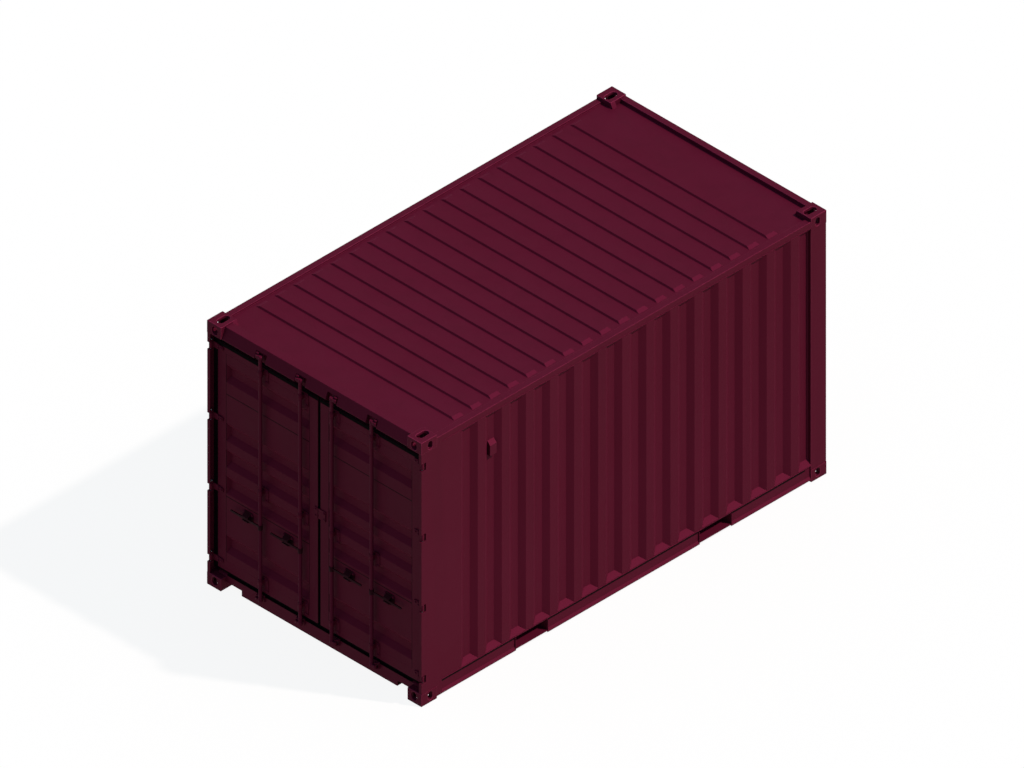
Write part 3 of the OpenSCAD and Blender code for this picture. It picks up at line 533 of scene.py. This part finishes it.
def bead(form, start, end, radius):
    """A weld bead with the ripples of its runs, from one point to another."""
    start = Vector(start)
    reach = Vector(end) - start
    path = reach.normalized()
    across = path.orthogonal().normalized()
    beside = path.cross(across)
    count = max(2, round(reach.length / BEAD_STEP))
    turns = [2 * math.pi * (j + 0.5) / BEAD_SIDES for j in range(BEAD_SIDES)]
    rings = []
    for i in range(count + 1):
        swell = 1.0 if i % 2 else BEAD_DIP
        swell *= 1 + sum(size * math.sin(i * pace) for size, pace in BEAD_WAVES)
        centre = start + reach * (i / count)
        rings.append(
            [centre + radius * swell * (across * math.cos(a) + beside * math.sin(a)) for a in turns]
        )
    form.loft(rings)


# Places read from the frame

leaf = {side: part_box(f"{side}_door_frame") for side in SIDES}
LEAF_FACE = leaf["left"][0].x
LEAF_BOTTOM = leaf["left"][0].z
LEAF_TOP = leaf["left"][1].z
joints = {joint["name"]: joint for joint in frame["record"]["behaviour"]["joints"]}
blades_low, blades_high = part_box("left_hinge_blades")
guides_low, guides_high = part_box("left_bar_guides")
catches_low, catches_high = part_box("left_handle_catches")

# Sizes of the door gear and the castings that the frame doesn't give

BLADE_HALF = 29 * MM
BLADE_THICKNESS = 10 * MM
HINGES = 4
COLLAR_BELOW_PLATE_TOP = 40 * MM
COLLAR_HALF = 20 * MM
GUIDE_PLATE_HEIGHT = 140 * MM
GUIDE_PLATE_THICKNESS = 6 * MM
MIDDLE_GUIDE_DROP = 116.5 * MM
CATCH_REACH = 170 * MM
CASTING_LENGTH = 178 * MM
CASTING_WIDTH = 162 * MM

hinge_pitch = (blades_high.z - blades_low.z - 2 * BLADE_HALF) / (HINGES - 1)
hinge_heights = [blades_low.z + BLADE_HALF + i * hinge_pitch for i in range(HINGES)]
guide_tops = [
    guides_low.z + GUIDE_PLATE_HEIGHT,
    (LEAF_BOTTOM + LEAF_TOP) / 2 - MIDDLE_GUIDE_DROP + COLLAR_BELOW_PLATE_TOP,
    guides_high.z,
]


def bar_place(side, bar):
    """The foot of a lock bar's axis, at the height of the ground."""
    place = joints[f"{side}_{bar}_lock_turn"]["pos_m"]
    return Vector((place[0], place[1], 0.0))


# Bolts on each leaf: guide plates, handle catches, hinge blades and seal plates

GUIDE_BOLT_ACROSS = 44 * MM
GUIDE_BOLT_INSET = 22 * MM
CATCH_BOLT_ACROSS = 44 * MM
CATCH_BOLT_RISE = 36 * MM
BLADE_BOLTS = ((67 * MM, 11 * MM), (67 * MM, -11 * MM), (98 * MM, 0.0))
PLATE_BOLT_EDGE = 16 * MM
PLATE_BOLT_RISE = 30 * MM


def guide_bolts(form, y):
    """Four bolts on each guide plate of one bar."""
    face = guides_high.x - GUIDE_PLATE_THICKNESS
    for top in guide_tops:
        foot = top - GUIDE_PLATE_HEIGHT
        for across in (-1, 1):
            for z in (top - GUIDE_BOLT_INSET, foot + GUIDE_BOLT_INSET):
                bolt(form, (face, y + across * GUIDE_BOLT_ACROSS, z))


def catch_bolts(form, y):
    """Four bolts on the base plate of one handle catch."""
    face = guides_high.x - GUIDE_PLATE_THICKNESS
    middle = (catches_low.z + catches_high.z) / 2
    for across in (-1, 1):
        for rise in (-1, 1):
            bolt(form, (face, y + across * CATCH_BOLT_ACROSS, middle + rise * CATCH_BOLT_RISE))


def leaf_bolts(side):
    sign = SIDES[side]
    form = Form()
    for bar in BARS:
        y = bar_place(side, bar).y
        guide_bolts(form, y)
        catch_bolts(form, y + sign * CATCH_REACH)
    hinge_y = joints[f"{side}_door_hinge"]["pos_m"][1]
    blade_face = LEAF_FACE - BLADE_THICKNESS
    for height in hinge_heights:
        for reach, rise in BLADE_BOLTS:
            bolt(form, (blade_face, hinge_y - sign * reach, height + rise), SMALL_BOLT)
    low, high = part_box(f"{side}_seal_plate")
    outer = high.y - PLATE_BOLT_EDGE if sign > 0 else low.y + PLATE_BOLT_EDGE
    for rise in (-1, 1):
        bolt(form, (low.x, outer, (low.z + high.z) / 2 + rise * PLATE_BOLT_RISE), SMALL_BOLT)
    form.piece(f"{side}_door_bolts", gear_paint, f"{side}_door")


# Lock bars: stop rings beside the guides and weld rings at the cams

RING_GAP = 2 * MM
RING = [(16.2, 0.0), (18.6, 0.0), (19.4, 1.2), (19.4, 9.0), (18.6, 10.2), (16.2, 10.2)]
RING_SIDES = 32
WELD_RING = [(16.0, 0.0), (19.0, 0.0), (18.6, 1.6), (17.2, 3.4), (16.0, 4.2)]
WELD_RING_SIDES = 28
CAM_HEIGHT = 26 * MM
CAM_INSET = 4 * MM


def bar_rings(side, bar):
    place = bar_place(side, bar)
    form = Form()
    up = Vector((0, 0, 1))
    ring = metres(RING)
    ring_height = ring[-1][1]
    for top in guide_tops:
        collar = top - COLLAR_BELOW_PLATE_TOP
        for foot in (collar + COLLAR_HALF + RING_GAP, collar - COLLAR_HALF - RING_GAP - ring_height):
            form.turned(place + up * foot, up, ring, RING_SIDES)
    low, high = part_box(f"{side}_{bar}_bar")
    weld = metres(WELD_RING)
    form.turned(place + up * (low.z + CAM_INSET + CAM_HEIGHT), up, weld, WELD_RING_SIDES)
    form.turned(place + up * (high.z - CAM_INSET - CAM_HEIGHT), -up, weld, WELD_RING_SIDES)
    form.piece(f"{side}_{bar}_bar_rings", gear_paint, f"{side}_{bar}_lock")


# Door seals: rubber with two lips and a groove, mitred at the corners, in place of the plain solids
# The profile gives shares of the way from the leaf's edge outward and of the depth behind the front

SEAL_PROFILE = [
    (0.0, 0.10), (0.10, 0.0), (0.30, 0.0), (0.36, 0.12), (0.62, 0.12), (0.68, 0.0), (0.90, 0.0),
    (1.0, 0.12), (1.0, 0.32), (0.90, 0.42), (0.62, 0.46), (0.36, 0.62), (0.30, 1.0), (0.0, 1.0),
]
SEAL_SMOOTH = 20.0
SEAL_ROUND = 1.0 * MM
SEAL_STEPS = 2
SEAL_EDGE_ANGLE = math.radians(25)


def door_seal(side):
    low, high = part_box(f"{side}_door_seal")
    inner_low, inner_high = leaf[side]
    corners = ((0, 0), (1, 0), (1, 1), (0, 1))
    form = Form()
    rings = []
    for across, rise in corners:
        inner = Vector(((inner_low.y, inner_high.y)[across], (inner_low.z, inner_high.z)[rise]))
        outer = Vector(((low.y, high.y)[across], (low.z, high.z)[rise]))
        ring = []
        for reach, depth in SEAL_PROFILE:
            place = inner + (outer - inner) * reach
            ring.append((low.x + (high.x - low.x) * depth, place.x, place.y))
        rings.append(ring)
    form.loft(rings, around=True)
    seal = form.piece(f"{side}_gasket", rubber, f"{side}_door", SEAL_SMOOTH)
    soften = seal.modifiers.new("soften", "BEVEL")
    soften.width = SEAL_ROUND
    soften.segments = SEAL_STEPS
    soften.limit_method = "ANGLE"
    soften.angle_limit = SEAL_EDGE_ANGLE
    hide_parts(f"{side}_door_seal")


# Sealing compound in the sheet seams of each leaf and along both edges of its panel

SEAM_PROUD = 0.2 * MM
SEAM_DEEP = 0.9 * MM
SEAM_HALF = 3.8 * MM
SEAM_HEIGHTS = (733 * MM, 1738 * MM)
PANEL_EDGE_HALF = 1.8 * MM


def leaf_seams(side):
    form = Form()
    low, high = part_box(f"{side}_door_panel")
    front = LEAF_FACE - SEAM_PROUD
    back = LEAF_FACE + SEAM_DEEP
    for lift in SEAM_HEIGHTS:
        z = LEAF_BOTTOM + lift
        form.block((front, low.y, z - SEAM_HALF), (back, high.y, z + SEAM_HALF))
    for edge in (low.y, high.y):
        form.block((front, edge - PANEL_EDGE_HALF, low.z), (back, edge + PANEL_EDGE_HALF, high.z))
    form.piece(f"{side}_door_seams", joint_sealant_and_shadow, f"{side}_door")


# Black rubber: a flap along the top of each leaf and a ribbed strip on the slope of the sill, both dark
# pieces that paint the shade under the header and in the crevice above the sill
# The flap's profile gives millimetres before the leaf and shares of the flap's height

FLAP_HEIGHT = 36 * MM
FLAP_PROFILE = [(0.0, 0.0), (2.4, 0.04), (3.0, 0.2), (1.8, 0.5), (3.0, 0.8), (2.4, 0.96), (0.0, 1.0)]
SILL_STEP = 133 * MM
SILL_SLOPE = 34 * MM
SILL_SLOPE_RISE = 17 * MM
SILL_STRIP_HALF = 1.05
SILL_STRIP = 0.8 * MM
SILL_RIBS = 6
SILL_RIB = 2.0 * MM


# A black rubber flap before the top of the leaf, as painted shade under the header
def leaf_shade_flap(side):
    low, high = leaf[side]
    foot = high.z - FLAP_HEIGHT
    form = Form()
    rings = []
    for y in (low.y, high.y):
        rings.append([(low.x - proud * MM, y, foot + FLAP_HEIGHT * rise) for proud, rise in FLAP_PROFILE])
    form.loft(rings)
    form.piece(f"{side}_door_shade_flap", rubber, f"{side}_door")


# A black ribbed strip on the sill's slope, as painted shade in the crevice under the leaves
def sill_shade_strip():
    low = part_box("door_sill")[0]
    along = Vector((SILL_SLOPE, 0, SILL_SLOPE_RISE))
    out = Vector((-SILL_SLOPE_RISE, 0, SILL_SLOPE)).normalized()
    foot = Vector((low.x, 0, SILL_STEP))
    edge = []
    for i in range(2 * SILL_RIBS + 1):
        height = SILL_STRIP + (SILL_RIB if i % 2 else 0)
        edge.append(foot + along * (i / (2 * SILL_RIBS)) + out * height)
    edge += [foot + along, foot]
    form = Form()
    form.loft([[point + Vector((0, y, 0)) for point in edge] for y in (-SILL_STRIP_HALF, SILL_STRIP_HALF)])
    form.piece("sill_shade_strip", rubber, "container")


# Dark strips on the webs of the bottom rails, before, between and behind the fork pockets, as painted
# shadow under the rails' top lip

RAIL_SHADOW_TOP = 18 * MM
RAIL_SHADOW_FOOT = 32 * MM
RAIL_SHADOW_THICKNESS = 1 * MM
RAIL_WEB = 14 * MM
POCKET_PLACE = 1042.5 * MM
POCKET_CUT = 186 * MM


# The strips paint the shadow that the rail's top lip would cast on its web
def rail_shadow_strip():
    low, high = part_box("right_bottom_rail")
    outer_cut = POCKET_PLACE + POCKET_CUT
    inner_cut = POCKET_PLACE - POCKET_CUT
    stretches = ((low.x, -outer_cut), (-inner_cut, inner_cut), (outer_cut, -low.x))
    form = Form()
    for sign in SIDES.values():
        web = sign * (cad_high.y - RAIL_WEB)
        proud = web + sign * RAIL_SHADOW_THICKNESS
        for first, last in stretches:
            form.block(
                (first, min(web, proud), high.z - RAIL_SHADOW_FOOT),
                (last, max(web, proud), high.z - RAIL_SHADOW_TOP),
            )
    form.piece("rail_shadow_strip", joint_sealant_and_shadow, "container")


# Weld beads along the walls, round the roof and at the castings

BEAD = 3.2 * MM
ROOF_BEAD = 4.5 * MM
ROOF_SHEET = 2 * MM
CASTING_SETBACK = 3 * MM


def side_wall_welds(side):
    low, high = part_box(f"{side}_side_wall")
    face = high.y if SIDES[side] > 0 else low.y
    form = Form()
    for z in (low.z, high.z):
        bead(form, (low.x, face, z), (high.x, face, z), BEAD)
    form.piece(f"{side}_wall_welds", paint, "container", WELD_SMOOTH)


def front_wall_welds():
    low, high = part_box("front_wall")
    form = Form()
    for z in (low.z, high.z):
        bead(form, (high.x, low.y, z), (high.x, high.y, z), BEAD)
    for y in (low.y, high.y):
        bead(form, (high.x, y, low.z), (high.x, y, high.z), BEAD)
    form.piece("front_wall_welds", paint, "container", WELD_SMOOTH)


def roof_welds():
    low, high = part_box("roof_panel")
    casting_low, casting_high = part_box("top_castings")
    top = low.z + ROOF_SHEET
    start = casting_low.x + CASTING_LENGTH
    end = casting_high.x - CASTING_LENGTH
    reach = casting_high.y - CASTING_WIDTH
    form = Form()
    for y in (low.y, high.y):
        bead(form, (start, y, top), (end, y, top), ROOF_BEAD)
    for x in (low.x, high.x):
        bead(form, (x, -reach, top), (x, reach, top), ROOF_BEAD)
    form.piece("roof_welds", paint, "container", WELD_SMOOTH)


def casting_welds():
    form = Form()
    for level, (low, high) in (("bottom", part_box("bottom_castings")), ("top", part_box("top_castings"))):
        z = high.z if level == "bottom" else low.z
        door_end = low.x + CASTING_SETBACK
        front_end = high.x - CASTING_SETBACK
        for sign in SIDES.values():
            y = sign * (high.y - CASTING_SETBACK)
            inside = sign * (high.y - CASTING_WIDTH)
            bead(form, (door_end, y, z), (low.x + CASTING_LENGTH, y, z), BEAD)
            bead(form, (front_end, y, z), (high.x - CASTING_LENGTH, y, z), BEAD)
            bead(form, (front_end, y, z), (front_end, inside, z), BEAD)
    form.piece("casting_welds", paint, "container", WELD_SMOOTH)


# Floor: joints between plywood sheets and rows of screws

FLOOR_REACH = 1.06
SHEET_LENGTH = 1.15
SHORTEST_SHEET = 0.2
JOINT_HALF = 1.6 * MM
JOINT_PROUD = 0.3 * MM
JOINT_DEEP = 1 * MM
JOINT_END_GAP = 0.12
SCREW_PITCH = 0.305
SCREW_SPACING = 0.16
SCREW_START = 0.14
SCREW_ENDS = 0.3
SCREW_EDGE = 0.06
SCREW = [(7.5, 0.0), (7.5, 0.3), (6.0, 0.9), (2.2, 1.0), (1.6, 0.4)]
SCREW_SIDES = 12


def floor_joints():
    low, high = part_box("floor_deck")
    foot = high.z - JOINT_DEEP
    top = high.z + JOINT_PROUD
    form = Form()
    x = low.x + SHEET_LENGTH
    while x < high.x - SHORTEST_SHEET:
        form.block((x - JOINT_HALF, -FLOOR_REACH, foot), (x + JOINT_HALF, FLOOR_REACH, top))
        x += SHEET_LENGTH
    form.block((low.x, -JOINT_HALF, foot), (high.x - JOINT_END_GAP, JOINT_HALF, top))
    form.piece("floor_joints", joint_sealant_and_shadow, "container")


def floor_screws():
    low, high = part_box("floor_deck")
    up = Vector((0, 0, 1))
    profile = metres(SCREW)
    rows = int((high.x - low.x - SCREW_ENDS) / SCREW_PITCH)
    gaps = int(2 * FLOOR_REACH / SCREW_SPACING)
    row_half = FLOOR_REACH - SCREW_EDGE
    form = Form()
    for row in range(rows + 1):
        x = low.x + SCREW_START + row * SCREW_PITCH
        for place in range(gaps + 1):
            y = -row_half + place * 2 * row_half / gaps
            form.turned((x, y, high.z), up, profile, SCREW_SIDES)
    form.piece("floor_screws", pin_zinc, "container")


for side in SIDES:
    leaf_bolts(side)
    door_seal(side)
    leaf_seams(side)
    leaf_shade_flap(side)
    for bar in BARS:
        bar_rings(side, bar)
sill_shade_strip()
rail_shadow_strip()
for side in SIDES:
    side_wall_welds(side)
front_wall_welds()
roof_welds()
casting_welds()
floor_joints()
floor_screws()


# Camera at the picture's angle


def add_camera():
    right = Vector((1, -1, 0)).normalized()
    back = Vector((-1, -1, 1)).normalized()
    up = back.cross(right)
    across = (PICTURE_WIDTH / 2 - CORNER_PIXEL[0]) / PIXELS_PER_METRE
    above = (CORNER_PIXEL[1] - PICTURE_HEIGHT / 2) / PIXELS_PER_METRE
    corner = Vector((cad_low.x, cad_low.y, cad_low.z))
    centre = corner + right * across + up * above
    camera = bpy.data.objects.new("camera", bpy.data.cameras.new("camera"))
    camera.data.type = "ORTHO"
    camera.data.ortho_scale = PICTURE_WIDTH / PIXELS_PER_METRE
    camera.data.clip_end = CAMERA_FAR
    turn = Matrix((right, up, back)).transposed().to_4x4()
    camera.matrix_world = Matrix.Translation(centre + back * CAMERA_DISTANCE) @ turn
    bpy.context.scene.collection.objects.link(camera)
    bpy.context.scene.camera = camera


# Studio: sun, soft light from above and below, pale floor


def seen_directly(tree):
    """A value that is 1 for rays that show the background: camera, glossy and transmitted rays."""
    path = tree.nodes.new("ShaderNodeLightPath")
    value = path.outputs["Is Camera Ray"]
    for ray in ("Is Glossy Ray", "Is Transmission Ray"):
        larger = tree.nodes.new("ShaderNodeMath")
        larger.operation = "MAXIMUM"
        tree.links.new(value, larger.inputs[0])
        tree.links.new(path.outputs[ray], larger.inputs[1])
        value = larger.outputs["Value"]
    return value


def add_sun():
    sun = bpy.data.objects.new("sun", bpy.data.lights.new("sun", "SUN"))
    sun.data.energy = SUN_LEVEL
    sun.data.color = SUN_COLOUR
    sun.data.angle = SUN_SOFTNESS
    sun.rotation_euler = SUN_FROM.to_track_quat("Z", "Y").to_euler()
    bpy.context.scene.collection.objects.link(sun)


def add_world():
    """White where it is seen, and otherwise a soft light that differs above and below the horizon."""
    world = bpy.data.worlds.new("studio")
    bpy.context.scene.world = world
    world.use_nodes = True
    tree = world.node_tree
    tree.nodes.clear()
    direction = tree.nodes.new("ShaderNodeTexCoord")
    split = tree.nodes.new("ShaderNodeSeparateXYZ")
    tree.links.new(direction.outputs["Generated"], split.inputs["Vector"])
    height = tree.nodes.new("ShaderNodeMapRange")
    height.inputs["From Min"].default_value = -HORIZON_BLEND
    height.inputs["From Max"].default_value = HORIZON_BLEND
    tree.links.new(split.outputs["Z"], height.inputs["Value"])
    soft = tree.nodes.new("ShaderNodeBackground")
    tone = mixed(tree, height.outputs["Result"], GROUND_LIGHT, SKY_LIGHT)
    tree.links.new(tone, soft.inputs["Color"])
    white = tree.nodes.new("ShaderNodeBackground")
    white.inputs["Color"].default_value = WHITE
    choose = tree.nodes.new("ShaderNodeMixShader")
    tree.links.new(seen_directly(tree), choose.inputs["Fac"])
    tree.links.new(soft.outputs["Background"], choose.inputs[1])
    tree.links.new(white.outputs["Background"], choose.inputs[2])
    output = tree.nodes.new("ShaderNodeOutputWorld")
    tree.links.new(choose.outputs["Shader"], output.inputs["Surface"])


def floor_material():
    """A pale glow with a little matte white, so that shadows stay faint."""
    material = bpy.data.materials.new("pale_floor")
    material.use_nodes = True
    tree = material.node_tree
    tree.nodes.clear()
    glow = tree.nodes.new("ShaderNodeEmission")
    glow.inputs["Strength"].default_value = FLOOR_GLOW
    matte = tree.nodes.new("ShaderNodeBsdfDiffuse")
    matte.inputs["Color"].default_value = (FLOOR_DIFFUSE, FLOOR_DIFFUSE, FLOOR_DIFFUSE, 1.0)
    total = tree.nodes.new("ShaderNodeAddShader")
    tree.links.new(glow.outputs["Emission"], total.inputs[0])
    tree.links.new(matte.outputs["BSDF"], total.inputs[1])
    output = tree.nodes.new("ShaderNodeOutputMaterial")
    tree.links.new(total.outputs["Shader"], output.inputs["Surface"])
    return material


def add_floor():
    mesh = bpy.data.meshes.new("floor")
    form = bmesh.new()
    bmesh.ops.create_grid(form, x_segments=1, y_segments=1, size=FLOOR_HALF)
    form.to_mesh(mesh)
    form.free()
    mesh.materials.append(floor_material())
    floor = bpy.data.objects.new("floor", mesh)
    floor.location.z = cad_low.z - FLOOR_GAP
    floor.visible_diffuse = False
    bpy.context.scene.collection.objects.link(floor)


bpy.context.scene.view_settings.view_transform = "Standard"
add_camera()
add_sun()
add_world()
add_floor()
